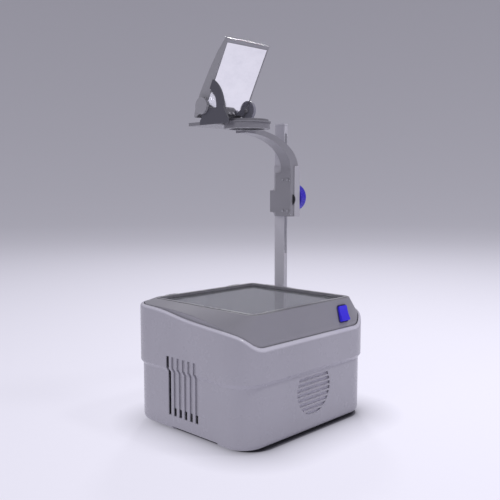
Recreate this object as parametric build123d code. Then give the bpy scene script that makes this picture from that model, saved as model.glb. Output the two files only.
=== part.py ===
from build123d import *
from math import cos, pi, radians, sin, sqrt
import os

# Overhead projector.  All lengths in mm.  The working frame has its origin on the floor
# under the middle of the base, +X to the mast side, +Y to the back and +Z up.  Every node
# is moved by FRAME_SHIFT at the end so the finished frame is centred on the whole object.

# ---- base housing ----
BASE_W = 384.0
BASE_D = 326.0
BAND = 5.4
CORNER_R = 53.0
BASE_Z = 6.0
STEP_LOW = 125.0
STEP_HIGH = 133.0
COLLAR_Z = 178.0
WALL = 3.0
COLLAR = 7.0
LIP_ROUND = 6.2
FOOT_ROUND = 12.0
FRONT_GAP = 1.4
PAN_INSET = 13.0
PAN_LIP = 27.0
LEDGE = [(-176, 187), (-168.4, 192), (-158, 205), (-146, 218), (-128, 225.5), (-100, 229),
         (-50, 233), (4, 238.5), (64, 247), (105, 249.5), (178, 250)]

# ---- upper housing and stage ----
DECK_Z = 256.5
TURRET_W = 379.0
TURRET_FRONT = -160.8
TURRET_REAR = 158.0
FRONT_LEDGE_Z = 205.0
LEDGE_R = 50.0
RIM_W = 308.0
RIM_D = 298.0
RIM_R = 20.0
FRAME_W = 301.0
FRAME_D = 291.0
FRAME_TOP = 257.6
APERTURE_W = 286.0
APERTURE_D = 276.0
GLASS_Z = 248.5
GLASS_T = 3.2
HINGE_Y = 152.0
HINGE_Z = 254.8
HINGE_R = 2.8
HINGE_X = (-95.0, 95.0)

# ---- mast, carriage and arm ----
POST_X = (200.0, 212.0)
POST_Y = (87.5, 117.0)
POST_BOTTOM = 60.0
POST_TOP = 634.0
RACK_MODULE = 1.0
PINION_TEETH = 14
PINION_Y = POST_Y[0] - 1.0 - RACK_MODULE * PINION_TEETH / 2
PINION_Z = 463.5
BLOCK_X = (197.9, 216.6)
BLOCK_Z = (419.0, 538.0)
BLOCK_FRONT = 53.0
ARM_Y = (55.0, 85.0)
ARM_PLATE_X = (186.0, 197.6)
ARM_CENTRE_X = 40.0
ARM_CENTRE_Z = 530.0
ARM_INNER = (145.5, 76.5)
ARM_OUTER = (173.0, 87.9)
ARM_TIP_X = 36.0
KNOB_R = 31.0
KNOB_X = (218.0, 236.0)

# ---- head ----
LENS_Y = 16.0
BARREL_R = 48.0
BARREL_Z = (609.5, 629.0)
LENS_R = 40.0
PLATE_Z = (618.2, 625.0)
PLATE_LEFT = -63.2
PLATE_RIGHT = 70.0
EAR_X = (62.4, 69.6)
EAR_R = 20.5
CHEEK_X = (-67.2, -62.4)
HORN_R = (38.7, 58.4)
TILT_KNOB_X = (-74.6, -67.9)
TILT_KNOB_R = 17.7
LUG_R = 5.6
PLATE_Y = (43.0, 132.0)
TILT_Y = 77.0
TILT_Z = 657.0
TILT_ANGLE = 62.4
HOUSING_HALF = 62.0
MIRROR_HALF = 58.3
MIRROR_TOP = 137.0
CASE_RIM = 9.0

# ---- openings, switch and fan ----
GRILLE_X = 7.0
GRILLE_Z = 90.0
GRILLE_R = 51.0
SLOT_H = 6.2
SLOT_Z = [43.2 + 10.15 * i for i in range(8)]
VENT_Y = [44.0 - 16.0 * i for i in range(6)]
SWITCH_X = 108.0
SWITCH_Z = 227.0
FRONT_SLOPE = (RIM_D / 2 + TURRET_FRONT) / (DECK_Z - FRONT_LEDGE_Z)
FAN_Y = (-151.0, -125.0)
FAN_Z = 84.0


def block(x0, x1, y0, y1, z0, z1):
    """Box between two corners."""
    return Pos((x0 + x1) / 2, (y0 + y1) / 2, (z0 + z1) / 2) * Box(x1 - x0, y1 - y0, z1 - z0)


def rod_x(x0, x1, y, z, r):
    """Cylinder along X."""
    return Pos((x0 + x1) / 2, y, z) * Rot(0, 90, 0) * Cylinder(r, x1 - x0)


def rod_y(x, y0, y1, z, r):
    """Cylinder along Y."""
    return Pos(x, (y0 + y1) / 2, z) * Rot(90, 0, 0) * Cylinder(r, y1 - y0)


def rod_z(x, y, z0, z1, r):
    """Cylinder along Z."""
    return Pos(x, y, (z0 + z1) / 2) * Cylinder(r, z1 - z0)


def round_prism(w, d, r, z0, z1):
    """Upright prism with rounded corners."""
    return Pos(0, 0, z0) * extrude(RectangleRounded(w, d, r), z1 - z0)


def side_profile(points, x0, x1):
    """Y-Z outline pushed along X from x0 to x1."""
    face = make_face(Polyline(*[(0, y, z) for y, z in points], close=True))
    return Pos(x0, 0, 0) * extrude(face, x1 - x0, dir=(1, 0, 0))


def wave_below():
    """Everything under the wave line that runs along the top of the base."""
    wave = Spline(*[(0, y, z) for y, z in LEDGE])
    close = Polyline((0, LEDGE[-1][0], LEDGE[-1][1]), (0, 200, LEDGE[-1][1]), (0, 200, 0),
                     (0, -200, 0), (0, -200, LEDGE[0][1]), (0, LEDGE[0][0], LEDGE[0][1]))
    face = make_face(wave + close)
    return Pos(-230, 0, 0) * extrude(face, 460, dir=(1, 0, 0))


def group(*solids):
    """Separate solids that belong to one node."""
    return Compound([piece for solid in solids for piece in solid.solids()])


# ---------------------------------------------------------------- base


def grille_slots():
    """Eight level slots inside one circle in the front wall."""
    y0 = -BASE_D / 2 - 5
    y1 = -BASE_D / 2 + WALL + 5
    clip = rod_y(GRILLE_X, y0, y1, GRILLE_Z, GRILLE_R)
    slots = []
    for z in SLOT_Z:
        slot = block(GRILLE_X - 60, GRILLE_X + 60, y0, y1, z - SLOT_H / 2, z + SLOT_H / 2)
        slots.append(slot & clip)
    return slots


def lower_housing():
    outer_w = BASE_W + 2 * BAND
    outer_d = BASE_D + 2 * BAND
    shell = round_prism(BASE_W, BASE_D, CORNER_R, BASE_Z, STEP_HIGH)
    shell = fillet(shell.edges().group_by(Axis.Z)[0], FOOT_ROUND)
    low = Pos(0, 0, STEP_LOW) * RectangleRounded(BASE_W, BASE_D, CORNER_R)
    high = Pos(0, 0, STEP_HIGH) * RectangleRounded(outer_w, outer_d, CORNER_R + BAND)
    shell += loft([low, high])
    upper = round_prism(outer_w, outer_d, CORNER_R + BAND, STEP_HIGH, 262) & wave_below()
    top_edges = [e for e in upper.edges() if e.bounding_box().min.Z > STEP_HIGH + 20]
    upper = fillet(top_edges, LIP_ROUND)
    shell += upper
    shell -= round_prism(BASE_W - 2 * PAN_INSET, BASE_D - 2 * PAN_INSET, CORNER_R - PAN_INSET, 0, 17.2)
    shell -= round_prism(BASE_W - 2 * PAN_LIP, BASE_D - 2 * PAN_LIP, CORNER_R - PAN_LIP, 0, 40)
    shell -= round_prism(BASE_W - 2 * WALL, BASE_D - 2 * WALL, CORNER_R - WALL, 22, STEP_HIGH)
    shell -= round_prism(outer_w - 2 * WALL, outer_d - 2 * WALL, CORNER_R + BAND - WALL,
                         STEP_HIGH, COLLAR_Z)
    inside = round_prism(outer_w - 2 * COLLAR, outer_d - 2 * COLLAR + FRONT_GAP, CORNER_R + BAND - COLLAR,
                         COLLAR_Z - 1, 300)
    shell -= Pos(0, -FRONT_GAP / 2, 0) * inside
    for slot in grille_slots():
        shell -= slot
    for y in VENT_Y:
        shell -= block(-215, -180, y - 4, y + 4, 37, 157)
    shell -= block(-215, -178, -92, 39, 0, 14)
    for x in (-172, 172):
        for y in (-60, 60):
            shell -= rod_z(x, y, 17, 19.6, 1.85)
    shell -= block(-15.2, 15.2, 150, 175, 34.3, 59.7)
    shell -= rod_y(52, 150, 175, 47, 6.3)
    return shell


def base_pan():
    inset = PAN_INSET + 0.5
    pan = round_prism(BASE_W - 2 * inset, BASE_D - 2 * inset, CORNER_R - inset, 15, 17)
    for x in (-150, 150):
        for y in (-118, 118):
            pan += rod_z(x, y, 8, 17, 14)
    for i in range(9):
        x = -96 + 24 * i
        pan -= block(x - 4, x + 4, -50, 50, 0, 30)
    for x in (-172, 172):
        for y in (-60, 60):
            pan -= rod_z(x, y, 10, 20, 2.1)
    return pan


def rubber_feet():
    feet = []
    for x in (-150, 150):
        for y in (-118, 118):
            foot = Pos(x, y, 4) * Cone(14, 16, 8)
            feet.append(foot)
    return group(*feet)


def pan_screws():
    screws = []
    for x in (-172, 172):
        for y in (-60, 60):
            screw = rod_z(x, y, 12.4, 14.9, 4) + rod_z(x, y, 14.5, 19.5, 1.8)
            screws.append(screw - block(x - 3, x + 3, y - 0.5, y + 0.5, 12, 13.2))
    return group(*screws)


def vent_baffle():
    """Light baffle close behind the side vents: it follows the step and stops short of their feet."""
    low_x = -BASE_W / 2 + WALL + 0.2
    high_x = low_x - BAND
    step_z = STEP_HIGH + 0.2
    outline = [(low_x, 52), (low_x, step_z), (high_x, step_z), (high_x, 160), (high_x + 1, 160),
               (high_x + 1, step_z + 1.2), (low_x + 1, step_z + 1.2), (low_x + 1, 52)]
    face = make_face(Polyline(*[(x, 0, z) for x, z in outline], close=True))
    return Pos(0, -43, 0) * extrude(face, 77, dir=(0, 1, 0))


def grille_blades():
    """Sloping blades close behind the slots, carried by two upright ribs."""
    outer = -BASE_D / 2 + WALL + 0.3
    inner = outer + 4.6
    clip = rod_y(GRILLE_X, outer - 5, inner + 10, GRILLE_Z, GRILLE_R + 2)
    blades = None
    for x in (GRILLE_X - 20, GRILLE_X + 20):
        rib = block(x - 1.5, x + 1.5, inner - 1.2, inner + 2.5, SLOT_Z[0] - 2, SLOT_Z[-1] + 4)
        blades = rib if blades is None else blades + rib
    for z in SLOT_Z:
        section = [(outer, z - 4.0), (outer, z - 2.7), (inner - 1.1, z + 4.3), (inner, z + 4.3)]
        blades += side_profile(section, GRILLE_X - 60, GRILLE_X + 60) & clip
    return blades


# ---------------------------------------------------------------- upper housing
def ledge_height(y):
    """Height where the upper housing meets the wave line, at depth y."""
    for (y0, z0), (y1, z1) in zip(LEDGE, LEDGE[1:]):
        if y <= y1:
            return max(z0 + (z1 - z0) * (y - y0) / (y1 - y0) + 1.5, FRONT_LEDGE_Z)
    return LEDGE[-1][1] + 1.5


def corner_points(side_x, side_y, r, half_w, y_edge):
    """Points round one plan corner, going from the X side to the Y side."""
    points = []
    for i in range(7):
        t = radians(15 * i)
        points.append((side_x * (half_w - r + r * cos(t)), y_edge + side_y * (r * sin(t) - r)))
    return points


def skirt_runs():
    """Matching runs of rim points and ledge points round the upper housing."""
    rim_half = RIM_W / 2
    ledge_half = TURRET_W / 2
    side_rows = (-50, 4, 64)
    runs = []
    for side_x in (1, -1):
        front_rim = corner_points(side_x, -1, RIM_R, rim_half, -RIM_D / 2)
        front_ledge = corner_points(side_x, -1, LEDGE_R, ledge_half, TURRET_FRONT)
        rear_rim = corner_points(side_x, 1, RIM_R, rim_half, RIM_D / 2)
        rear_ledge = corner_points(side_x, 1, LEDGE_R, ledge_half, TURRET_REAR)
        side_rim = [front_rim[0]] + [(side_x * rim_half, y) for y in side_rows] + [rear_rim[0]]
        side_ledge = [front_ledge[0]] + [(side_x * ledge_half, y) for y in side_rows] + [rear_ledge[0]]
        half = [(front_rim[::-1], front_ledge[::-1]), (side_rim, side_ledge), (rear_rim, rear_ledge)]
        if side_x < 0:
            half = [(rim[::-1], ledge[::-1]) for rim, ledge in half[::-1]]
        runs.append(half)
    right, left = runs
    rear = ([right[2][0][-1], left[0][0][0]], [right[2][1][-1], left[0][1][0]])
    front = ([left[2][0][-1], right[0][0][0]], [left[2][1][-1], right[0][1][0]])
    return right + [rear] + left + [front]


def skirt():
    """Solid under the ruled surface between the stage rim and the wave line."""
    floor_z = 183.5
    top_edges = []
    low_edges = []
    for rim, ledge in skirt_runs():
        top = [(x, y, DECK_Z) for x, y in rim]
        low = []
        for (px, py), (qx, qy) in zip(rim, ledge):
            reach = (DECK_Z - floor_z) / (DECK_Z - ledge_height(qy))
            low.append((px + (qx - px) * reach, py + (qy - py) * reach, floor_z))
        if len(top) == 2:
            top_edges.append(Line(*top))
            low_edges.append(Line(*low))
        else:
            top_edges.append(Spline(*top))
            low_edges.append(Spline(*low))
    return Solid.make_loft([Wire([e.edge() for e in low_edges]), Wire([e.edge() for e in top_edges])], True)


def upper_housing():
    depth = TURRET_REAR - TURRET_FRONT
    middle = (TURRET_REAR + TURRET_FRONT) / 2
    body = skirt() & (Pos(0, middle, 0) * round_prism(TURRET_W, depth, LEDGE_R, 183.5, 300))
    body -= round_prism(FRAME_W + 1.2, FRAME_D + 1.2, RIM_R - 3, 236, 280)
    place = switch_place()
    body -= place * Pos(0, 0, -4.7) * extrude(RectangleRounded(30, 36, 5), 20)
    body -= place * Pos(0, -7, -30) * extrude(RectangleRounded(27, 21, 3), 40)
    for x in HINGE_X:
        body -= block(x - 17, x + 17, FRAME_D / 2 - 1, HINGE_Y + 4, HINGE_Z - 4.5, 270)
    body -= round_prism(TURRET_W - 14, depth - 26, 40, 170, 224)
    body -= round_prism(FRAME_W - 18, FRAME_D - 18, 12, 220, 240)
    return body


def stage_frame():
    frame = round_prism(FRAME_W, FRAME_D, RIM_R - 4, 240, FRAME_TOP)
    frame -= round_prism(APERTURE_W, APERTURE_D, 8, 230, 270)
    frame -= round_prism(APERTURE_W + 7, APERTURE_D + 7, 9, 239, GLASS_Z + GLASS_T + 0.2)
    for x in HINGE_X:
        frame += block(x - 8, x + 8, FRAME_D / 2 - 3, HINGE_Y, HINGE_Z - 1.2, FRAME_TOP)
        frame += rod_x(x - 8, x + 8, HINGE_Y, HINGE_Z, HINGE_R)
        frame -= rod_x(x - 9, x + 9, HINGE_Y, HINGE_Z, 1.55)
    return frame


def stage_glass():
    return round_prism(APERTURE_W + 6.4, APERTURE_D + 6.4, 8.5, GLASS_Z, GLASS_Z + GLASS_T)


def fresnel_lens():
    sheet = round_prism(APERTURE_W + 6.4, APERTURE_D + 6.4, 8.5, GLASS_Z - 2.4, GLASS_Z - 0.3)
    for i in range(11):
        r = 12.0 * (i + 1)
        ring = Cylinder(r + 0.8, 0.6) - Cylinder(r, 2)
        sheet -= Pos(0, 0, GLASS_Z - 2.4) * ring
    return sheet


def lens_retainer():
    ring = round_prism(FRAME_W - 2, FRAME_D - 2, RIM_R - 5, 238.2, 239.9)
    ring += round_prism(APERTURE_W + 6, APERTURE_D + 6, 8.5, 239.5, GLASS_Z - 2.6)
    ring -= round_prism(APERTURE_W - 2, APERTURE_D - 2, 8, 230, 250)
    return ring


def retainer_screws():
    screws = []
    for x in (-100, 0, 100):
        for y in (-142.4, 142.4):
            screws.append(rod_z(x, y, 236.9, 238.1, 2.4))
    for x in (-147.6, 147.6):
        for y in (-70, 70):
            screws.append(rod_z(x, y, 236.9, 238.1, 2.4))
    return group(*screws)


def hinge_leaves():
    """Fixed half of each hinge, sunk in a pocket behind the stage."""
    leaves = []
    floor_z = HINGE_Z - 4.4
    for x in HINGE_X:
        leaf = block(x - 16, x + 16, HINGE_Y - 2.6, HINGE_Y + 2.6, floor_z, floor_z + 1.1)
        for x0, x1 in ((x - 16, x - 8.5), (x + 8.5, x + 16)):
            leaf += rod_x(x0, x1, HINGE_Y, HINGE_Z, HINGE_R)
            leaf += block(x0, x1, HINGE_Y - 2, HINGE_Y + 2, floor_z, HINGE_Z)
            leaf -= rod_x(x0 - 1, x1 + 1, HINGE_Y, HINGE_Z, 1.5)
        leaves.append(leaf)
    return group(*leaves)


def hinge_pins():
    return group(*[rod_x(x - 16.6, x + 16.6, HINGE_Y, HINGE_Z, 1.49) for x in HINGE_X])


def switch_place():
    """Frame on the sloping front: local x is +X, local y runs up the slope, local z points out."""
    y = -RIM_D / 2 + FRONT_SLOPE * (DECK_Z - SWITCH_Z)
    lean = -FRONT_SLOPE
    return Plane(origin=(SWITCH_X, y, SWITCH_Z), x_dir=(1, 0, 0), z_dir=(0, -1, lean))


def switch_bezel():
    place = switch_place()
    bezel = place * Pos(0, 0, 0.15) * extrude(RectangleRounded(32, 37, 6), 1.4)
    bezel += place * Pos(0, 0, -4.2) * extrude(RectangleRounded(29.5, 35.5, 5), 5)
    bezel -= place * Pos(0, 0, -9) * extrude(RectangleRounded(27.7, 33.7, 4.5), 20)
    return bezel


def switch_rocker():
    place = switch_place()
    body = Pos(0, 0, -2.6) * extrude(RectangleRounded(26.4, 32.0, 4.2), 10)
    body -= Pos(0, 3, 87) * Rot(0, 90, 0) * Cylinder(81.5, 60)
    return place * Rot(-5, 0, 0) * body


def switch_body():
    place = switch_place()
    return place * Pos(0, -7, -24) * extrude(RectangleRounded(26, 20, 3), 18.4)


# ---------------------------------------------------------------- lamp house and electrics
def transformer_core():
    core = block(80, 152, 60, 124, 20, 76)
    core -= block(72, 162, 74, 86, 34, 62)
    core -= block(72, 162, 98, 110, 34, 62)
    return core


def transformer_coil():
    coil = block(74, 158, 74.4, 109.6, 34.4, 61.6)
    return coil - block(79.8, 152.2, 85.8, 98.2, 20, 80)


def transformer_feet():
    return group(block(76, 156, 56, 59.7, 17.3, 30), block(76, 156, 124.3, 128, 17.3, 30))


def fan_frame():
    y0, y1 = FAN_Y
    frame = block(GRILLE_X - 58, GRILLE_X + 58, y0, y1, FAN_Z - 58, FAN_Z + 58)
    frame -= rod_y(GRILLE_X, y0 - 1, y1 - 5, FAN_Z, 54)
    ring = rod_y(GRILLE_X, y1 - 6, y1 + 1, FAN_Z, 53) - rod_y(GRILLE_X, y1 - 8, y1 + 2, FAN_Z, 22)
    for angle in (45, 135, 225, 315):
        spoke = Pos(GRILLE_X, y1, FAN_Z) * Rot(0, angle, 0) * Pos(38, 0, 0) * Box(40, 20, 6)
        ring -= spoke
    return frame - ring - rod_y(GRILLE_X, y1 - 6, y1 - 2, FAN_Z, 2.05)


def fan_rotor():
    y0, y1 = FAN_Y
    hub = rod_y(GRILLE_X, y0 + 3, y1 - 6.2, FAN_Z, 20) + rod_y(GRILLE_X, y1 - 7, y1 - 2.6, FAN_Z, 2.0)
    for i in range(7):
        blade = Pos(0, 0, 34.5) * Rot(0, 0, 38) * Box(2, 17, 32)
        hub += Pos(GRILLE_X, (y0 + y1) / 2 - 2, FAN_Z) * Rot(0, i * 360 / 7, 0) * blade
    return hub


def lamp_bracket():
    plate = block(-48, 48, -38, 38, 40, 42)
    for x in (-48, 46):
        plate += block(x, x + 2, -38, 38, 17.3, 42)
    plate += block(-62, -46, -38, 38, 17.3, 19.3)
    plate += block(46, 62, -38, 38, 17.3, 19.3)
    return plate


def lamp_reflector():
    bowl = Pos(0, 0, 74) * (Sphere(30) - Sphere(28.6))
    bowl -= block(-40, 40, -40, 40, 68, 120)
    bowl -= rod_z(0, 0, 30, 60, 8)
    return bowl


def lamp_socket():
    socket = rod_z(0, 0, 42.3, 50, 7.4)
    for x in (-3, 3):
        socket -= rod_z(x, 0, 44, 56, 0.9)
    return socket


def halogen_lamp():
    bulb = rod_z(0, 0, 55, 76, 6.5) + Pos(0, 0, 76) * Sphere(6.5) + block(-6, 6, -3, 3, 50.6, 56)
    for x in (-3, 3):
        bulb += rod_z(x, 0, 44.2, 52, 0.75)
    return bulb


def condenser_holder():
    plate = block(-60, 60, -50, 50, 96, 98) - rod_z(0, 0, 90, 100, 34)
    for x in (-60, 58):
        for y in (-50, 44):
            plate += block(x, x + 2, y, y + 6, 17.3, 98)
    ring = rod_z(0, 0, 98, 106, 39) - rod_z(0, 0, 90, 110, 36.4)
    return plate + ring


def condenser_lens():
    dome = (Pos(0, 0, 58.5) * Sphere(60)) & rod_z(0, 0, 98.3, 130, 36)
    return dome


def heat_filter():
    return block(-32, 32, -28, 28, 88, 91)


def filter_clips():
    clips = []
    for x in (-36, 32.3):
        clip = block(x, x + 3.7, -12, 12, 84, 95.7) - block(x + 1, x + 2.7, -13, 13, 85, 94)
        clips.append(clip)
    return group(*clips)


def thermal_cutout():
    return rod_z(-74, -20, 17.3, 24, 8) + block(-84, -64, -21.5, -18.5, 17.3, 19)


def terminal_block():
    body = block(-160, -110, 96, 114, 17.3, 33)
    for i in range(4):
        body -= rod_z(-153 + 12 * i, 105, 26, 40, 3)
    return body


def mains_inlet():
    body = block(-24, 24, 163.3, 165, 33, 61) + block(-14.5, 14.5, 140, 163.5, 35, 59)
    body -= block(-12, 12, 150, 170, 38, 56)
    for x, z in ((-7, 45), (7, 45), (0, 50)):
        body += block(x - 1, x + 1, 149, 160, z - 3, z + 3)
    return body


def fuse_holder():
    return rod_y(52, 163.2, 170, 47, 9) + rod_y(52, 130, 163.2, 47, 6)


# ---------------------------------------------------------------- mast
def mast_socket():
    """Cast bracket on the mast side of the base that holds the foot of the post."""
    x0, x1 = POST_X
    y0, y1 = POST_Y
    wall = BASE_W / 2 + BAND
    body = block(wall + 0.1, x1 + 5, y0 - 6, y1 + 6, 52, 122)
    body += block(wall + 0.1, x1 + 5, y0 - 6, y1 + 6, 138, 176)
    body += block(wall + 0.1, wall + 2.2, y0 - 18, y1 + 18, 136, 178)
    body += block(x1 + 0.1, x1 + 5, y0 - 6, y1 + 6, 120, 140)
    body -= block(x0, x1, y0, y1, 60, 200)
    return body


def socket_screws():
    wall = BASE_W / 2 + BAND
    screws = []
    for y in (POST_Y[0] - 12, POST_Y[1] + 12):
        for z in (145, 169):
            screws.append(rod_x(wall + 2.3, wall + 5.2, y, z, 3.6))
    return group(*screws)


def post():
    x0, x1 = POST_X
    y0, y1 = POST_Y
    bar = block(x0, x1, y0, y1, POST_BOTTOM, POST_TOP)
    bar -= block(x0 + 3, x1 - 3, y0 - 1, y0 + 3.4, 330, POST_TOP - 20)
    return bar


def post_cap():
    x0, x1 = POST_X
    y0, y1 = POST_Y
    return block(x0 - 0.6, x1 + 0.6, y0 - 0.6, y1 + 0.6, POST_TOP + 0.1, POST_TOP + 3.6)


def rack():
    """Toothed strip let into the front of the post."""
    x0 = POST_X[0] + 3.1
    x1 = POST_X[1] - 3.1
    base_y = POST_Y[0] + 3.3
    pitch_y = PINION_Y + RACK_MODULE * PINION_TEETH / 2
    pitch = pi * RACK_MODULE
    bar = block(x0, x1, pitch_y + 1.2, base_y, 332, POST_TOP - 22)
    first = int((332 - PINION_Z) / pitch) + 1
    last = int((POST_TOP - 22 - PINION_Z) / pitch) - 1
    for k in range(first, last + 1):
        z = PINION_Z + k * pitch
        tooth = [(pitch_y - 0.8, z - 0.3), (pitch_y - 0.8, z + 0.3), (pitch_y + 1.3, z + 0.95),
                 (pitch_y + 1.3, z - 0.95)]
        bar += side_profile(tooth, x0, x1)
    return bar


def pinion():
    """Pinion and its shaft in one turning."""
    r = RACK_MODULE * PINION_TEETH / 2
    gear = rod_x(204.2, 207.8, 0, 0, r - 1.25)
    step = 360 / PINION_TEETH
    for k in range(PINION_TEETH):
        tooth = side_profile([(r - 1.6, -0.85), (r - 1.6, 0.85), (r + 0.75, 0.32), (r + 0.75, -0.32)],
                             204.2, 207.8)
        gear += Rot((k + 0.5) * step, 0, 0) * tooth
    gear += rod_x(198.6, 231.0, 0, 0, 3.0)
    return Pos(0, PINION_Y, PINION_Z) * gear


def carriage_block():
    x0, x1 = BLOCK_X
    z0, z1 = BLOCK_Z
    body = block(x0, x1, BLOCK_FRONT, POST_Y[1] + 0.5, z0, z1)
    body -= block(POST_X[0] - 0.4, POST_X[1] + 0.4, POST_Y[0] - 0.4, POST_Y[1] + 2, z0 - 1, z1 + 1)
    body -= block(POST_X[0] + 2.6, POST_X[1] - 2.6, PINION_Y + 5.4, POST_Y[0], z0 - 1, z1 + 1)
    body -= rod_x(202.5, 209.5, PINION_Y, PINION_Z, 9)
    body -= block(202.5, 209.5, PINION_Y, POST_Y[0], PINION_Z - 9, PINION_Z + 9)
    body -= rod_x(x0 - 1, x1 + 1, PINION_Y, PINION_Z, 3.05)
    body -= block(x0 + 4, x1 - 3, BLOCK_FRONT + 3, PINION_Y - 13, z0 - 1, z1 - 4)
    return body


def rear_keeper():
    """Keeper plate that closes the carriage behind the post."""
    y0 = POST_Y[1] + 0.6
    plate = block(BLOCK_X[0], BLOCK_X[1], y0, y0 + 3, 426, 482)
    for z in (434, 474):
        plate -= rod_y(POST_X[0] - 1.1, y0 - 1, y0 + 4, z, 0.8)
    return plate


def keeper_screws():
    y0 = POST_Y[1] + 3.7
    return group(*[rod_y(x, y0, y0 + 1.8, z, 1.6) for x in (200, 214.4) for z in (434, 474)])


def focus_knob():
    knob = rod_x(KNOB_X[0], KNOB_X[1], 0, 0, KNOB_R)
    knob = fillet(knob.edges().filter_by(GeomType.CIRCLE), 2.0)
    for i in range(36):
        knob -= Rot(i * 10, 0, 0) * rod_x(KNOB_X[0] - 1, KNOB_X[1] + 1, KNOB_R + 0.6, 0, 1.4)
    knob -= rod_x(KNOB_X[0] - 1, 232.0, 0, 0, 3.0)
    knob -= rod_x(KNOB_X[1] - 2.5, KNOB_X[1] + 1, 0, 0, KNOB_R - 7)
    return Pos(0, PINION_Y, PINION_Z) * knob


def hub_disc():
    """Round stop disc let into the front edge of the arm plate."""
    return rod_x(193.6, 197.2, 64, 459, 14.5)


def arm_curve(half_axes):
    """Points along a quarter ellipse in the X-Z plane."""
    a, b = half_axes
    pts = []
    for i in range(13):
        t = radians(7.5 * i)
        pts.append((ARM_CENTRE_X + a * cos(t), 0, ARM_CENTRE_Z + b * sin(t)))
    return pts


def arm():
    """Curved arm: upright plate on the carriage, quarter-ellipse bend and tongue under the head."""
    outer = arm_curve(ARM_OUTER)
    inner = arm_curve(ARM_INNER)
    out_line = Spline(*outer)
    in_line = Spline(*inner)
    tip_out = (ARM_TIP_X, 0, outer[-1][2])
    tip_in = (ARM_TIP_X, 0, inner[-1][2])
    ends = Polyline(outer[-1], tip_out, tip_in, inner[-1])
    foot = Polyline(inner[0], outer[0])
    bend = extrude(make_face(out_line + ends + in_line + foot), ARM_Y[1] - ARM_Y[0], dir=(0, 1, 0))
    body = Pos(0, ARM_Y[0], 0) * bend
    x0, x1 = ARM_PLATE_X
    body += block(x0, x1, ARM_Y[0], ARM_Y[1], BLOCK_Z[0], ARM_CENTRE_Z + 0.5)
    body += block(x0, x1, ARM_Y[0], 103, BLOCK_Z[0], ARM_CENTRE_Z - 8)
    body += block(x0, x1, ARM_Y[1] - 1, POST_Y[1] + 3, 428, 480)
    body -= block(x1, 230, 40, 120, 300, BLOCK_Z[1] + 0.3)
    body -= block(POST_X[0] - 0.6, 230, POST_Y[0] - 1.2, 140, 300, 700)
    body -= rod_x(193.0, 200.0, 64, 459, 15.3)
    return body


def arm_screws():
    """Screws through the arm plate into the carriage."""
    screws = []
    for y in (64, 79):
        for z in (432, 505):
            slot = block(183, 184.8, y - 0.4, y + 0.4, z - 3, z + 3)
            screws.append(rod_x(184.2, 185.9, y, z, 3.2) - slot)
    return group(*screws)


# ---------------------------------------------------------------- head
def lens_barrel():
    z0, z1 = BARREL_Z
    tube = rod_z(0, LENS_Y, z0, z0 + 12, BARREL_R) + rod_z(0, LENS_Y, z0 + 11, z1, BARREL_R - 3)
    tube -= rod_z(0, LENS_Y, z0 - 1, z1 + 1, LENS_R - 3)
    tube -= rod_z(0, LENS_Y, z0 + 2, z0 + 14, LENS_R + 0.4)
    return tube


def objective_lens():
    bottom = Pos(0, LENS_Y, BARREL_Z[0] + 2.4 + 175) * Sphere(175)
    disc = rod_z(0, LENS_Y, BARREL_Z[0] + 2.4, BARREL_Z[0] + 13.4, LENS_R)
    top = Pos(0, LENS_Y, BARREL_Z[0] + 13.4 - 175) * Sphere(175)
    return disc & bottom & top


def head_plate():
    plate = block(PLATE_LEFT, PLATE_RIGHT, PLATE_Y[0], PLATE_Y[1], PLATE_Z[0], PLATE_Z[1])
    plate = fillet(plate.edges().filter_by(Axis.Z), 6)
    plate += block(-BARREL_R + 6, BARREL_R - 6, LENS_Y, PLATE_Y[0] + 5, PLATE_Z[0] + 3.4, PLATE_Z[1])
    plate += rod_z(0, LENS_Y, PLATE_Z[0] + 3.4, PLATE_Z[1], BARREL_R + 2)
    plate -= rod_z(0, LENS_Y, 600, 640, BARREL_R - 2.9)
    plate -= rod_z(0, LENS_Y, 600, BARREL_Z[0] + 12.1, BARREL_R + 0.2)
    return plate


def head_screws():
    z0 = PLATE_Z[1] + 0.1
    return group(*[rod_z(x, y, z0, z0 + 2.3, 3.4) for x in (41, 54) for y in (62, 78)])


def left_cheek():
    """Upright cheek with a curved horn centred on the tilt axis."""
    x0, x1 = CHEEK_X
    inner, outer = HORN_R
    horn = rod_x(x0, x1, TILT_Y, TILT_Z, outer) - rod_x(x0 - 1, x1 + 1, TILT_Y, TILT_Z, inner)
    horn &= tilted_slab(x0, x1, 0, 80, -80, -1.5)
    z0 = PLATE_Z[0]
    front = [(5.3, z0), (5.3, 628.3), (13.8, 643.7), (20.2, 657), (36, 657), (36, 651.3)]
    rear = [(66, 651.3), (77, 657), (86, 648), (82, 634), (88, 627), (88, z0)]
    cheek = horn + side_profile(front + rear, x0, x1) + rod_x(x0, x1, TILT_Y, TILT_Z, 14)
    cheek -= rod_x(x0 - 1, x1 + 1, TILT_Y, TILT_Z, 3.05)
    cheek += block(x0, PLATE_LEFT + 10, PLATE_Y[0] + 4, 88, PLATE_Z[1] + 0.05, PLATE_Z[1] + 1.6)
    cheek -= block(PLATE_LEFT - 0.05, 0, PLATE_Y[0] - 60, 140, z0 - 3, PLATE_Z[1] + 0.05)
    return cheek


def right_ear():
    x0, x1 = EAR_X
    ear = rod_x(x0, x1, TILT_Y, TILT_Z, EAR_R)
    ear += block(x0, x1, TILT_Y - 14, TILT_Y + 14, PLATE_Z[1] + 0.05, TILT_Z)
    ear += block(x0, x1, TILT_Y - 22, TILT_Y + 22, PLATE_Z[1] + 0.05, PLATE_Z[1] + 5)
    ear -= rod_x(x0 - 1, x1 + 1, TILT_Y, TILT_Z, 3.05)
    return ear


def tilt_frame(u, n):
    """Y-Z point from distances along the mirror and behind it, measured from the tilt axis."""
    c = cos(radians(TILT_ANGLE))
    s = sin(radians(TILT_ANGLE))
    return (TILT_Y - c * u + s * n, TILT_Z + s * u + c * n)


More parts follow.
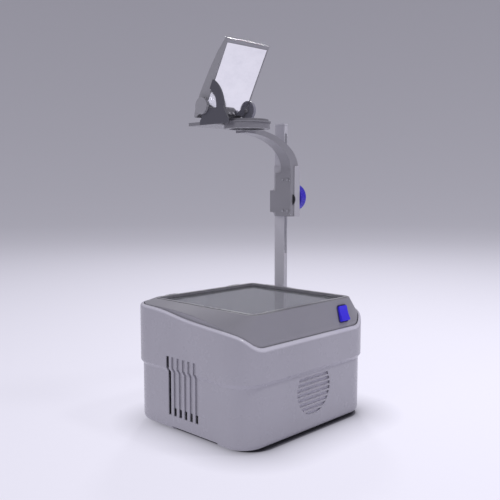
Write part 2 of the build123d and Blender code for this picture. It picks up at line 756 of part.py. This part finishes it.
def mirror_housing():
    """Wedge cover behind the mirror, with a lug on each side that takes its pivot."""
    top = MIRROR_TOP + CASE_RIM
    outline = [(top, 0), (top, 6), (110, 16), (70, 22.5), (20, 27), (-12, 27), (-34, 22), (-34, 19)]
    inner = [(MIRROR_TOP + 0.6, -3), (MIRROR_TOP + 0.6, 4.5), (109, 14), (69.5, 20.4), (20, 24.8),
             (-12, 24.8), (-33, 19.8), (-50, 10), (-50, -3)]
    outer_pts = [tilt_frame(u, n) for u, n in outline + [(-14, 4), (-14, 0)]]
    inner_pts = [tilt_frame(u, n) for u, n in inner]
    cover = side_profile(outer_pts, -HOUSING_HALF, HOUSING_HALF)
    cover -= side_profile(inner_pts, -HOUSING_HALF + 2.6, HOUSING_HALF - 2.6)
    cover += rod_x(-HOUSING_HALF, -HOUSING_HALF + 3.2, TILT_Y, TILT_Z, LUG_R)
    cover += rod_x(HOUSING_HALF - 3.2, HOUSING_HALF, TILT_Y, TILT_Z, LUG_R)
    cover -= rod_x(-80, -40, TILT_Y, TILT_Z, 3.0)
    cover -= rod_x(40, 80, TILT_Y, TILT_Z, 3.0)
    return cover


def tilted_slab(x0, x1, u0, u1, n0, n1):
    pts = [tilt_frame(u0, n0), tilt_frame(u1, n0), tilt_frame(u1, n1), tilt_frame(u0, n1)]
    return side_profile(pts, x0, x1)


def mirror_glass():
    return tilted_slab(-MIRROR_HALF, MIRROR_HALF, -14, MIRROR_TOP, 0.2, 3.2)


def mirror_backing():
    pad = tilted_slab(-50, 50, 30, 100, 3.3, 5)
    for x in (-30, 0, 30):
        pad += tilted_slab(x - 4, x + 4, 34, 60, 5, 18)
    return pad


def tilt_pins():
    inner = HOUSING_HALF - 3.4
    left = rod_x(TILT_KNOB_X[0] + 2.6, -inner, TILT_Y, TILT_Z, 2.99)
    right = rod_x(inner, EAR_X[1] + 1.5, TILT_Y, TILT_Z, 2.99)
    return group(left, right)


def tilt_knob():
    x0, x1 = TILT_KNOB_X
    knob = rod_x(x0, x1, 0, 0, TILT_KNOB_R)
    knob = fillet(knob.edges().filter_by(GeomType.CIRCLE), 1.2)
    for i in range(18):
        knob -= Rot(i * 20, 0, 0) * rod_x(x0 - 1, x1 + 1, TILT_KNOB_R + 0.9, 0, 1.6)
    knob -= rod_x(x0 + 2.2, x1 + 1, 0, 0, 3.04)
    return Pos(0, TILT_Y, TILT_Z) * knob


NODES = {
    "lower_housing": lower_housing,
    "base_pan": base_pan,
    "rubber_feet": rubber_feet,
    "pan_screws": pan_screws,
    "vent_baffle": vent_baffle,
    "grille_blades": grille_blades,
    "upper_housing": upper_housing,
    "stage_frame": stage_frame,
    "stage_glass": stage_glass,
    "fresnel_lens": fresnel_lens,
    "lens_retainer": lens_retainer,
    "retainer_screws": retainer_screws,
    "hinge_leaves": hinge_leaves,
    "hinge_pins": hinge_pins,
    "switch_bezel": switch_bezel,
    "switch_rocker": switch_rocker,
    "switch_body": switch_body,
    "transformer_core": transformer_core,
    "transformer_coil": transformer_coil,
    "transformer_feet": transformer_feet,
    "fan_frame": fan_frame,
    "fan_rotor": fan_rotor,
    "lamp_bracket": lamp_bracket,
    "lamp_reflector": lamp_reflector,
    "lamp_socket": lamp_socket,
    "halogen_lamp": halogen_lamp,
    "condenser_holder": condenser_holder,
    "condenser_lens": condenser_lens,
    "heat_filter": heat_filter,
    "filter_clips": filter_clips,
    "thermal_cutout": thermal_cutout,
    "terminal_block": terminal_block,
    "mains_inlet": mains_inlet,
    "fuse_holder": fuse_holder,
    "mast_socket": mast_socket,
    "socket_screws": socket_screws,
    "post": post,
    "post_cap": post_cap,
    "rack": rack,
    "pinion": pinion,
    "carriage_block": carriage_block,
    "rear_keeper": rear_keeper,
    "keeper_screws": keeper_screws,
    "focus_knob": focus_knob,
    "hub_disc": hub_disc,
    "arm": arm,
    "arm_screws": arm_screws,
    "lens_barrel": lens_barrel,
    "objective_lens": objective_lens,
    "head_plate": head_plate,
    "head_screws": head_screws,
    "left_cheek": left_cheek,
    "right_ear": right_ear,
    "mirror_housing": mirror_housing,
    "mirror_glass": mirror_glass,
    "mirror_backing": mirror_backing,
    "tilt_pins": tilt_pins,
    "tilt_knob": tilt_knob,
}

os.makedirs("parts", exist_ok=True)
shapes = {name: build() for name, build in NODES.items()}
boxes = [shape.bounding_box() for shape in shapes.values()]
low = [min(box.min.X for box in boxes), min(box.min.Y for box in boxes), min(box.min.Z for box in boxes)]
high = [max(box.max.X for box in boxes), max(box.max.Y for box in boxes), max(box.max.Z for box in boxes)]
FRAME_SHIFT = (-(low[0] + high[0]) / 2, -(low[1] + high[1]) / 2, -low[2])
for name, shape in shapes.items():
    export_step(shape.moved(Location(FRAME_SHIFT)), f"parts/{name}.step")
print("frame shift", [round(v, 3) for v in FRAME_SHIFT], "low", low, "high", high)
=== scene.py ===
import bpy
from math import cos, pi, radians, sin
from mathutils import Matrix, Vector


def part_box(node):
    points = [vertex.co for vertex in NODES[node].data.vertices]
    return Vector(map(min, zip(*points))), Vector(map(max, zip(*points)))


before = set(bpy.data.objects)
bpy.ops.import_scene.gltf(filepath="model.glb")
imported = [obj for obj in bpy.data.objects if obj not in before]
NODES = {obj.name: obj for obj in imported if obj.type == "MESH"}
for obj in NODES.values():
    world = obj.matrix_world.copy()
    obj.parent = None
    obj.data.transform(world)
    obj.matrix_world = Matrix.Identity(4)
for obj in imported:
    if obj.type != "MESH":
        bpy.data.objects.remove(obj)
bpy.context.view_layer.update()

# ---- camera: place and far limit in metres, lens and sensor width in millimetres ----
CAMERA_PLACE = Vector((-1.0719, -1.0098, 0.4990))
CAMERA_AIM = Vector((0.7160, 0.6914, -0.0969))
CAMERA_LENS = 50.0
CAMERA_SENSOR = 36.0
CAMERA_FAR = 60.0

# ---- base colours, linear ----
HOUSING_LOW = (0.418, 0.407, 0.454)
HOUSING_HIGH = (0.325, 0.317, 0.350)
MAST_GREY = (0.590, 0.580, 0.620)
ARM_GREY = (0.295, 0.289, 0.315)
HEAD_GREY = (0.240, 0.235, 0.257)
CHEEK_GREY = (0.095, 0.094, 0.112)
MIRROR_CASE = (0.335, 0.331, 0.352)
CAP_WHITE = (0.640, 0.632, 0.670)
KNOB_BLUE = (0.040, 0.022, 0.560)
SWITCH_BLUE = (0.050, 0.028, 0.900)
TRIM_BLUE = (0.060, 0.055, 0.160)
INNER_BLACK = (0.022, 0.022, 0.025)
RUBBER_BLACK = (0.020, 0.020, 0.021)
RUBBER_DUST = (0.160, 0.155, 0.150)
BARE_METAL = (0.600, 0.600, 0.620)
ZINC = (0.620, 0.620, 0.640)
RACK_STEEL = (0.520, 0.520, 0.540)
BRIGHT_METAL = (0.820, 0.820, 0.840)
STAGE_GLASS = (0.930, 0.950, 0.950)
FRESNEL_GREY = (0.600, 0.600, 0.640)
LENS_GLASS = (0.950, 0.960, 0.980)
LAMP_GLASS = (0.970, 0.970, 0.960)
MIRROR_CLEAN = (0.810, 0.805, 0.820)
MIRROR_HAZY = (0.740, 0.738, 0.760)
VARNISH_DARK = (0.035, 0.033, 0.033)
VARNISH_LIGHT = (0.110, 0.105, 0.100)
RUST = (0.130, 0.060, 0.030)
TAPE_DARK = (0.360, 0.160, 0.030)
TAPE_LIGHT = (0.580, 0.310, 0.070)
CERAMIC_CLEAN = (0.740, 0.710, 0.640)
CERAMIC_STAINED = (0.480, 0.400, 0.300)

# ---- studio: a round floor that bends up into a wall, its sizes in metres ----
STUDIO_TINT = (1.0, 0.98, 1.12)
PAPER_LIGHT = 0.20
PAPER_DARK = 0.17
AIR_LEVEL = 0.32
FLOOR_RINGS = (0.02, 0.6, 1.5, 3.0, 5.0)
BEND_START = 6.0
BEND_R = 3.0
BEND_STEPS = 12
WALL_TOP = 6.5
STUDIO_SIDES = 96

# The glow is strongest at one place beside the object, and falls off along the floor and up the wall.
GLOW_CENTRE = (0.60, -0.60, 0.0)
GLOW_REACH = 3.05
GLOW_FALL = 1.8
GLOW_GAIN = 0.56
GLOW_BASE = 0.275
WALL_HEIGHTS = (0.2, 3.0)
WALL_LEVELS = (1.0, 0.88)
LAMP_SHARE = 0.075

# The contact shadow is a rounded rectangle under the base, with a soft border.
SHADOW_DRIFT = Vector((0.010, -0.010, 0.0))
SHADOW_INSET = Vector((0.022, 0.022, 0.0))
SHADOW_CORNER = 0.05
SHADOW_BORDER = (0.054, 0.16)
SHADOW_FADE = 0.34
ANY_HEIGHT = 10.0

# A mix node lists the sockets of every data type: these are the places of its colour sockets.
MIX_FIRST = 6
MIX_SECOND = 7
MIX_RESULT = 2

# The vector operations that give a number, not a vector.
NUMBER_RESULTS = ("DISTANCE", "LENGTH", "DOT_PRODUCT")

BEVEL_SAMPLES = 4

# Cosine of the angle between the true and the rounded normal: on a flat face, and on a sharp edge.
EDGE_TURN = (0.995, 0.80)


# ---------------------------------------------------------------- node helper
class Graph:
    """Adds nodes to one material and links them."""

    def __init__(self, name):
        self.material = bpy.data.materials.new(name)
        self.material.use_nodes = True
        self.tree = self.material.node_tree
        self.place = self.add("ShaderNodeTexCoord").outputs["Object"]

    def add(self, kind, **settings):
        node = self.tree.nodes.new(kind)
        for key, value in settings.items():
            setattr(node, key, value)
        return node

    def put(self, value, socket):
        """Link another node's output to a socket, or set a plain value on it."""
        if isinstance(value, bpy.types.NodeSocket):
            self.tree.links.new(value, socket)
        else:
            socket.default_value = value

    def shade(self, inputs):
        """Fill in the named inputs of the material's shader."""
        shader = self.tree.nodes["Principled BSDF"]
        for name, value in inputs.items():
            self.put(value, shader.inputs[name])
        return self.material

    def stretched(self, scale):
        node = self.add("ShaderNodeMapping")
        self.put(scale, node.inputs["Scale"])
        self.put(self.place, node.inputs["Vector"])
        return node.outputs["Vector"]

    def noise(self, scale, detail=3.0, rough=0.5, vector=None):
        node = self.add("ShaderNodeTexNoise")
        self.put(scale, node.inputs["Scale"])
        self.put(detail, node.inputs["Detail"])
        self.put(rough, node.inputs["Roughness"])
        self.put(vector or self.place, node.inputs["Vector"])
        return node.outputs["Fac"]

    def cells(self, scale):
        node = self.add("ShaderNodeTexVoronoi", feature="F1")
        self.put(scale, node.inputs["Scale"])
        self.put(self.place, node.inputs["Vector"])
        return node.outputs["Distance"]

    def rings(self, scale, centre):
        """Concentric rings round the upright line through a centre."""
        node = self.add("ShaderNodeTexWave", wave_type="RINGS", rings_direction="Z")
        self.put(scale, node.inputs["Scale"])
        self.put(self.vector_math("SUBTRACT", self.place, centre), node.inputs["Vector"])
        return node.outputs["Fac"]

    def span(self, value, between, result=(0.0, 1.0)):
        """Go from the first result to the second while value crosses the range between."""
        node = self.add("ShaderNodeMapRange")
        self.put(value, node.inputs["Value"])
        self.put(between[0], node.inputs["From Min"])
        self.put(between[1], node.inputs["From Max"])
        self.put(result[0], node.inputs["To Min"])
        self.put(result[1], node.inputs["To Max"])
        return node.outputs["Result"]

    def patches(self, scale, detail=3.0, rough=0.5, between=(0.3, 0.7), result=(0.0, 1.0)):
        """Soft irregular patches, from a noise that is stretched to a range."""
        return self.span(self.noise(scale, detail, rough), between, result)

    def math(self, operation, a, b):
        node = self.add("ShaderNodeMath", operation=operation)
        self.put(a, node.inputs[0])
        self.put(b, node.inputs[1])
        return node.outputs["Value"]

    def vector_math(self, operation, a, b=None):
        node = self.add("ShaderNodeVectorMath", operation=operation)
        self.put(a, node.inputs[0])
        if b is not None:
            self.put(b, node.inputs[1])
        return node.outputs["Value" if operation in NUMBER_RESULTS else "Vector"]

    def height_of(self, vector):
        """Z of a place or of a direction."""
        node = self.add("ShaderNodeSeparateXYZ")
        self.put(vector, node.inputs[0])
        return node.outputs["Z"]

    def mix(self, factor, a, b):
        """Go from colour a to colour b as the factor goes from 0 to 1."""
        node = self.add("ShaderNodeMix", data_type="RGBA", blend_type="MIX")
        self.put(factor, node.inputs["Factor"])
        for color, index in ((a, MIX_FIRST), (b, MIX_SECOND)):
            value = (*color, 1.0) if isinstance(color, tuple) else color
            self.put(value, node.inputs[index])
        return node.outputs[MIX_RESULT]

    def soft_edge(self, radius):
        """Normal that looks as if every edge were rounded to a radius in metres."""
        node = self.add("ShaderNodeBevel", samples=BEVEL_SAMPLES)
        self.put(radius, node.inputs["Radius"])
        return node.outputs["Normal"]

    def edge(self, radius):
        """1 on sharp edges and 0 on flat faces."""
        surface = self.add("ShaderNodeNewGeometry")
        turn = self.vector_math("DOT_PRODUCT", self.soft_edge(radius), surface.outputs["Normal"])
        return self.span(turn, EDGE_TURN)

    def upward(self, between):
        """0 on upright faces, rising to 1 as a face turns up."""
        surface = self.add("ShaderNodeNewGeometry")
        return self.span(self.height_of(surface.outputs["Normal"]), between)

    def bump(self, height, strength, distance, under=None):
        """Normal of a fine relief, on top of another normal where one is given."""
        node = self.add("ShaderNodeBump")
        self.put(height, node.inputs["Height"])
        self.put(strength, node.inputs["Strength"])
        self.put(distance, node.inputs["Distance"])
        if under:
            self.put(under, node.inputs["Normal"])
        return node.outputs["Normal"]


def scaled(color, factor):
    return tuple(c * factor for c in color)


# ---------------------------------------------------------------- materials
def moulded(name, color, rough=0.42, grain=0.10, wear=0.30, dust=0.10, coat=0.0,
            soft=0.0009, painted_sheen=0.0):
    """Moulded plastic: fine spark texture, faint tone drift, rubbed edges and a little dust.

    soft is the radius of the edges in metres. The last argument paints a highlight on the faces that
    turn up: it lightens their colour, and it smooths them.
    """
    g = Graph(name)
    body = g.mix(g.patches(5.0, detail=4.0), scaled(color, 0.955), scaled(color, 1.04))
    mottle = g.patches(240.0, detail=3.0, rough=0.6, between=(0.35, 0.65), result=(0.0, 0.10))
    body = g.mix(mottle, body, scaled(color, 0.86))
    dusty = g.patches(38.0, detail=5.0, rough=0.7, between=(0.50, 0.78), result=(0.0, dust))
    body = g.mix(dusty, body, scaled(color, 1.10))
    broken = g.patches(160.0, detail=4.0, rough=0.7, between=(0.38, 0.62), result=(0.15, 1.0))
    rub = g.math("MULTIPLY", g.math("MULTIPLY", g.edge(0.0016), broken), wear)
    body = g.mix(rub, body, scaled(color, 1.45))
    smudge = g.noise(16.0, detail=5.0, rough=0.65)
    matte = g.span(smudge, (0.3, 0.7), (rough - 0.04, rough + 0.06))
    # Painted highlight: faces that turn up get a lighter colour, standing in for light from above,
    # and a smoother finish.
    if painted_sheen:
        uneven = g.span(smudge, (0.2, 0.8), (0.75, 1.0))
        painted_sheen_and_gloss_mask = g.math("MULTIPLY", g.upward((0.10, 0.60)), uneven)
        body = g.mix(painted_sheen_and_gloss_mask, body, scaled(color, 1.0 + painted_sheen))
        matte = g.math("MULTIPLY", matte, g.span(painted_sheen_and_gloss_mask, (0.0, 1.0), (1.0, 0.6)))
    spark = g.math("ADD", g.cells(1500.0), g.noise(2600.0, detail=2.0))
    return g.shade({
        "Base Color": body,
        "Roughness": matte,
        "Normal": g.bump(spark, grain, distance=0.00025, under=g.soft_edge(soft)),
        "Specular IOR Level": 0.45,
        "Coat Weight": coat,
        "Coat Roughness": 0.12,
    })


def powder_coat(name, color, rough=0.38):
    """Painted metal: orange-peel coat, fine scratches and paint rubbed off at the edges."""
    g = Graph(name)
    body = g.mix(g.patches(7.0, detail=4.0), scaled(color, 0.94), scaled(color, 1.05))
    flecks = g.span(g.cells(520.0), (0.05, 0.30), (0.16, 0.0))
    body = g.mix(flecks, body, scaled(color, 1.18))
    lines = g.noise(30.0, detail=5.0, rough=0.75, vector=g.stretched((22.0, 22.0, 1.3)))
    scratch = g.span(lines, (0.635, 0.665), (0.0, 0.28))
    body = g.mix(scratch, body, scaled(color, 1.25))
    broken = g.patches(210.0, detail=5.0, rough=0.7, between=(0.42, 0.58))
    rub = g.math("MULTIPLY", g.math("MULTIPLY", g.edge(0.0012), broken), 0.5)
    peel = g.noise(900.0, detail=2.0)
    return g.shade({
        "Base Color": g.mix(rub, body, BARE_METAL),
        "Metallic": g.math("MULTIPLY", rub, 0.7),
        "Roughness": g.patches(22.0, detail=4.0, result=(rough - 0.06, rough + 0.08)),
        "Normal": g.bump(peel, strength=0.16, distance=0.0003, under=g.soft_edge(0.0008)),
    })


def metal(name, color, rough=0.30, brushed=(1.0, 1.0, 12.0), tarnish=0.35):
    """Bare or plated metal with a brushed grain and darker tarnish in patches."""
    g = Graph(name)
    grain = g.noise(420.0, detail=3.0, rough=0.6, vector=g.stretched(brushed))
    tone = g.mix(g.span(grain, (0.3, 0.7)), scaled(color, 0.82), scaled(color, 1.12))
    spots = g.patches(95.0, detail=5.0, rough=0.7, between=(0.52, 0.72), result=(0.0, tarnish))
    return g.shade({
        "Base Color": g.mix(spots, tone, scaled(color, 0.45)),
        "Metallic": 1.0,
        "Roughness": g.span(grain, (0.3, 0.7), (rough - 0.08, rough + 0.12)),
        "Normal": g.bump(grain, strength=0.12, distance=0.0002, under=g.soft_edge(0.0005)),
    })


def rubber(name, color):
    """Dull rubber with dust in patches."""
    g = Graph(name)
    dusty = g.patches(70.0, detail=5.0, rough=0.7, between=(0.42, 0.70), result=(0.0, 0.5))
    return g.shade({
        "Base Color": g.mix(dusty, color, RUBBER_DUST),
        "Roughness": g.patches(45.0, result=(0.72, 0.92)),
        "Normal": g.bump(g.noise(1400.0), strength=0.3, distance=0.0003),
    })


def clear(name, tint, rough=0.02, ior=1.50, haze=0.05, grooves=0.0, through=1.0):
    """Clear glass or plastic with faint smears.

    grooves is the strength of the Fresnel lens's fine rings, and through is the share of light
    that passes.
    """
    g = Graph(name)
    smear = g.noise(14.0, detail=5.0, rough=0.7)
    if grooves:
        low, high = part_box("fresnel_lens")
        normal = g.bump(g.rings(26.0, (low + high) / 2), grooves, distance=0.0004)
    else:
        normal = g.bump(g.noise(5.0, detail=2.0), strength=0.02, distance=0.001)
    return g.shade({
        "Base Color": g.mix(g.span(smear, (0.4, 0.75), (0.0, 0.35)), tint, scaled(tint, 0.90)),
        "Transmission Weight": through,
        "IOR": ior,
        "Roughness": g.span(smear, (0.45, 0.80), (rough, rough + haze)),
        "Normal": normal,
    })


def silvered(name):
    """Front-silvered glass with faint cleaning haze."""
    g = Graph(name)
    haze = g.noise(26.0, detail=6.0, rough=0.7, vector=g.stretched((1.0, 3.0, 1.0)))
    return g.shade({
        "Base Color": g.mix(g.span(haze, (0.4, 0.75)), MIRROR_CLEAN, MIRROR_HAZY),
        "Metallic": 1.0,
        "Roughness": g.span(haze, (0.35, 0.80), (0.05, 0.14)),
        "Normal": g.bump(g.noise(7.0, detail=2.0), strength=0.01, distance=0.001),
    })


def laminated(name):
    """Varnished transformer stampings: thin stacked sheets with a little rust."""
    g = Graph(name)
    sheets = g.noise(60.0, detail=2.0, vector=g.stretched((1.0, 40.0, 1.0)))
    varnish = g.mix(g.span(sheets, (0.35, 0.65)), VARNISH_DARK, VARNISH_LIGHT)
    rusty = g.patches(55.0, detail=5.0, rough=0.7, between=(0.5, 0.75), result=(0.0, 0.5))
    return g.shade({
        "Base Color": g.mix(rusty, varnish, RUST),
        "Metallic": 0.6,
        "Roughness": g.span(sheets, (0.3, 0.7), (0.35, 0.6)),
        "Normal": g.bump(sheets, strength=0.5, distance=0.0006),
    })


def wound(name):
    """Amber tape over windings."""
    g = Graph(name)
    wraps = g.noise(30.0, detail=2.0, vector=g.stretched((18.0, 1.0, 1.0)))
    return g.shade({
        "Base Color": g.mix(g.span(wraps, (0.35, 0.65)), TAPE_DARK, TAPE_LIGHT),
        "Roughness": g.span(wraps, (0.3, 0.7), (0.2, 0.4)),
        "Normal": g.bump(wraps, strength=0.4, distance=0.0005),
    })


def ceramic(name):
    """Fired ceramic with brown heat stains."""
    g = Graph(name)
    stain = g.patches(80.0, detail=5.0, rough=0.7, between=(0.45, 0.75), result=(0.0, 0.5))
    return g.shade({
        "Base Color": g.mix(stain, CERAMIC_CLEAN, CERAMIC_STAINED),
        "Roughness": g.patches(120.0, result=(0.25, 0.5)),
        "Normal": g.bump(g.noise(900.0), strength=0.15, distance=0.0003, under=g.soft_edge(0.0006)),
    })


# Each material, and the CAD nodes that it goes on.
FINISHES = (
    # The base plastic carries the painted highlight on its upward faces, such as the lip.
    (moulded("base_plastic", HOUSING_LOW, rough=0.26, grain=0.04, dust=0.06, soft=0.0020,
             painted_sheen=0.85),
     ("lower_housing", "vent_baffle")),
    # The grille blades are the housing grey lightened as painted light, standing in for the floor
    # light they catch.
    (moulded("blade_plastic_painted_light", scaled(HOUSING_LOW, 1.7), rough=0.36),
     ("grille_blades",)),
    (moulded("deck_plastic", HOUSING_HIGH, rough=0.34, grain=0.04, dust=0.05, soft=0.0024),
     ("upper_housing",)),
    (moulded("frame_plastic", scaled(HOUSING_HIGH, 0.85), rough=0.28),
     ("stage_frame",)),
    (powder_coat("mast_paint", MAST_GREY),
     ("post", "mast_socket", "base_pan")),
    (powder_coat("block_paint", scaled(MAST_GREY, 0.86)),
     ("carriage_block", "rear_keeper", "hinge_leaves")),
    (powder_coat("arm_paint", ARM_GREY, rough=0.34),
     ("arm",)),
    (moulded("head_plastic", HEAD_GREY, rough=0.24, grain=0.06),
     ("lens_barrel", "head_plate")),
    (moulded("cheek_plastic", CHEEK_GREY, rough=0.40, wear=0.22),
     ("left_cheek",)),
    (moulded("mirror_case", MIRROR_CASE, rough=0.40),
     ("mirror_housing",)),
    (moulded("knob_grey", scaled(MIRROR_CASE, 1.02), rough=0.38, wear=0.45),
     ("tilt_knob",)),
    # The right ear is the cheek grey lightened as painted light, lifting the shade it sits in beyond
    # the mirror.
    (moulded("ear_plastic_painted_light", scaled(CHEEK_GREY, 2.9), rough=0.42, wear=0.25),
     ("right_ear",)),
    (moulded("blue_gloss", KNOB_BLUE, rough=0.34, grain=0.05, wear=0.18, coat=0.10),
     ("focus_knob",)),
    (moulded("blue_switch", SWITCH_BLUE, rough=0.34, grain=0.06, wear=0.22, coat=0.10),
     ("switch_rocker",)),
    (moulded("cap_plastic", CAP_WHITE, rough=0.34),
     ("post_cap",)),
    (moulded("switch_trim", TRIM_BLUE, rough=0.34, wear=0.25),
     ("switch_bezel",)),
    (moulded("black_plastic", INNER_BLACK, rough=0.48, dust=0.3),
     ("switch_body", "fan_frame", "fan_rotor", "mains_inlet", "fuse_holder", "hub_disc",
      "lens_retainer", "mirror_backing")),
    (rubber("foot_rubber", RUBBER_BLACK),
     ("rubber_feet",)),
    (metal("zinc", ZINC),
     ("pan_screws", "retainer_screws", "hinge_pins", "transformer_feet", "lamp_bracket",
      "condenser_holder", "filter_clips", "socket_screws", "keeper_screws", "arm_screws",
      "head_screws", "tilt_pins")),
    (metal("rack_steel", RACK_STEEL, rough=0.34, brushed=(1.0, 1.0, 0.3)),
     ("rack", "pinion")),
    (metal("bright_metal", BRIGHT_METAL, rough=0.16, tarnish=0.15),
     ("lamp_reflector",)),
    (clear("stage_glass", STAGE_GLASS),
     ("stage_glass",)),
    (clear("fresnel", FRESNEL_GREY, rough=0.22, ior=1.49, haze=0.08, grooves=0.12, through=0.35),
     ("fresnel_lens",)),
    (clear("lens_glass", LENS_GLASS, ior=1.62, haze=0.03),
     ("objective_lens", "condenser_lens", "heat_filter")),
    (clear("lamp_glass", LAMP_GLASS, ior=1.46, haze=0.02),
     ("halogen_lamp",)),
    (silvered("mirror_face"),
     ("mirror_glass",)),
    (laminated("core_stack"),
     ("transformer_core",)),
    (wound("winding"),
     ("transformer_coil",)),
    (ceramic("ceramic"),
     ("lamp_socket", "thermal_cutout", "terminal_block")),
)

for finish, node_names in FINISHES:
    for node_name in node_names:
        mesh = NODES[node_name].data
        mesh.materials.clear()
        mesh.materials.append(finish)


# ---------------------------------------------------------------- studio
def floor_glow(g):
    """Glow of the paper, less the share of light that the lamps add."""
    away = g.vector_math("DISTANCE", g.place, GLOW_CENTRE)
    reach = g.math("POWER", g.math("DIVIDE", away, GLOW_REACH), GLOW_FALL)
    glow = g.math("DIVIDE", 1.0, g.math("ADD", reach, 1.0))
    level = g.math("ADD", g.math("MULTIPLY", glow, GLOW_GAIN), GLOW_BASE)
    rise = g.span(g.height_of(g.place), WALL_HEIGHTS, WALL_LEVELS)
    return g.math("SUBTRACT", g.math("MULTIPLY", level, rise), LAMP_SHARE)


def open_floor(g):
    """0 under the base, rising to 1 at the outer border of its shadow."""
    low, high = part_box("lower_housing")
    centre = (low + high) / 2 + SHADOW_DRIFT
    half = (high - low) / 2 - SHADOW_INSET
    corner = (half.x - SHADOW_CORNER, half.y - SHADOW_CORNER, ANY_HEIGHT)
    offset = g.vector_math("SUBTRACT", g.place, (centre.x, centre.y, 0.0))
    outside = g.vector_math("SUBTRACT", g.vector_math("ABSOLUTE", offset), corner)
    gap = g.vector_math("LENGTH", g.vector_math("MAXIMUM", outside, (0.0, 0.0, 0.0)))
    return g.math("POWER", g.span(gap, SHADOW_BORDER), SHADOW_FADE)


def studio_material():
    """Pale paper that glows of itself, with a contact shadow under the base."""
    g = Graph("studio_paper")
    fibre = g.patches(40.0, result=(0.0, 0.10))
    paper = g.mix(fibre, scaled(STUDIO_TINT, PAPER_LIGHT), scaled(STUDIO_TINT, PAPER_DARK))
    return g.shade({
        "Base Color": paper,
        "Emission Color": (*STUDIO_TINT, 1.0),
        "Emission Strength": g.math("MULTIPLY", floor_glow(g), open_floor(g)),
        "Roughness": 0.75,
        "Specular IOR Level": 0.10,
    })


def studio_profile():
    """Radius and height along the floor, round the bend and to the top of the wall."""
    profile = [(r, 0.0) for r in FLOOR_RINGS]
    for i in range(1, BEND_STEPS + 1):
        t = radians(90 * i / BEND_STEPS)
        profile.append((BEND_START + BEND_R * sin(t), BEND_R - BEND_R * cos(t)))
    profile.append((BEND_START + BEND_R, WALL_TOP))
    return profile


def studio():
    """Floor and seamless round wall, one turned surface."""
    profile = studio_profile()
    count = len(profile)
    verts = []
    faces = []
    for k in range(STUDIO_SIDES):
        a = 2 * pi * k / STUDIO_SIDES
        for r, z in profile:
            verts.append((r * cos(a), r * sin(a), z))
    for k in range(STUDIO_SIDES):
        for j in range(count - 1):
            a = k * count + j
            b = ((k + 1) % STUDIO_SIDES) * count + j
            faces.append((a, b, b + 1, a + 1))
    faces.append(tuple(k * count for k in range(STUDIO_SIDES))[::-1])
    mesh = bpy.data.meshes.new("studio")
    mesh.from_pydata(verts, [], faces)
    mesh.shade_smooth()
    mesh.materials.append(studio_material())
    sweep = bpy.data.objects.new("studio", mesh)
    bpy.context.scene.collection.objects.link(sweep)


def area_light(name, place, aim_height, size, power, glossy=True):
    """Round lamp that points at a height above the middle of the floor."""
    data = bpy.data.lights.new(name, "AREA")
    data.shape = "DISK"
    data.size = size
    data.energy = power
    light = bpy.data.objects.new(name, data)
    light.location = place
    aim = Vector((0.0, 0.0, aim_height)) - Vector(place)
    light.rotation_euler = aim.to_track_quat("-Z", "Y").to_euler()
    light.visible_camera = False
    light.visible_glossy = glossy
    bpy.context.scene.collection.objects.link(light)


def studio_air():
    """Weak even light from all round."""
    world = bpy.data.worlds.new("studio_air")
    world.use_nodes = True
    background = world.node_tree.nodes["Background"]
    background.inputs["Color"].default_value = (*scaled(STUDIO_TINT, AIR_LEVEL), 1.0)
    background.inputs["Strength"].default_value = 1.0
    bpy.context.scene.world = world


studio()
area_light("left_fill", (-3.2, -0.3, 1.5), aim_height=0.35, size=1.1, power=20.0, glossy=False)
area_light("rim", (2.1, 2.0, 2.3), aim_height=0.30, size=0.55, power=34.0)
area_light("key", (0.70, -1.30, 2.6), aim_height=0.20, size=0.42, power=20.0)
studio_air()
bpy.context.scene.view_settings.view_transform = "Standard"
bpy.context.scene.view_settings.look = "None"


# ---------------------------------------------------------------- camera
lens = bpy.data.cameras.new("camera")
lens.lens = CAMERA_LENS
lens.sensor_width = CAMERA_SENSOR
lens.clip_end = CAMERA_FAR
camera = bpy.data.objects.new("camera", lens)
camera.location = CAMERA_PLACE
camera.rotation_euler = CAMERA_AIM.to_track_quat("-Z", "Y").to_euler()
bpy.context.scene.collection.objects.link(camera)
bpy.context.scene.camera = camera
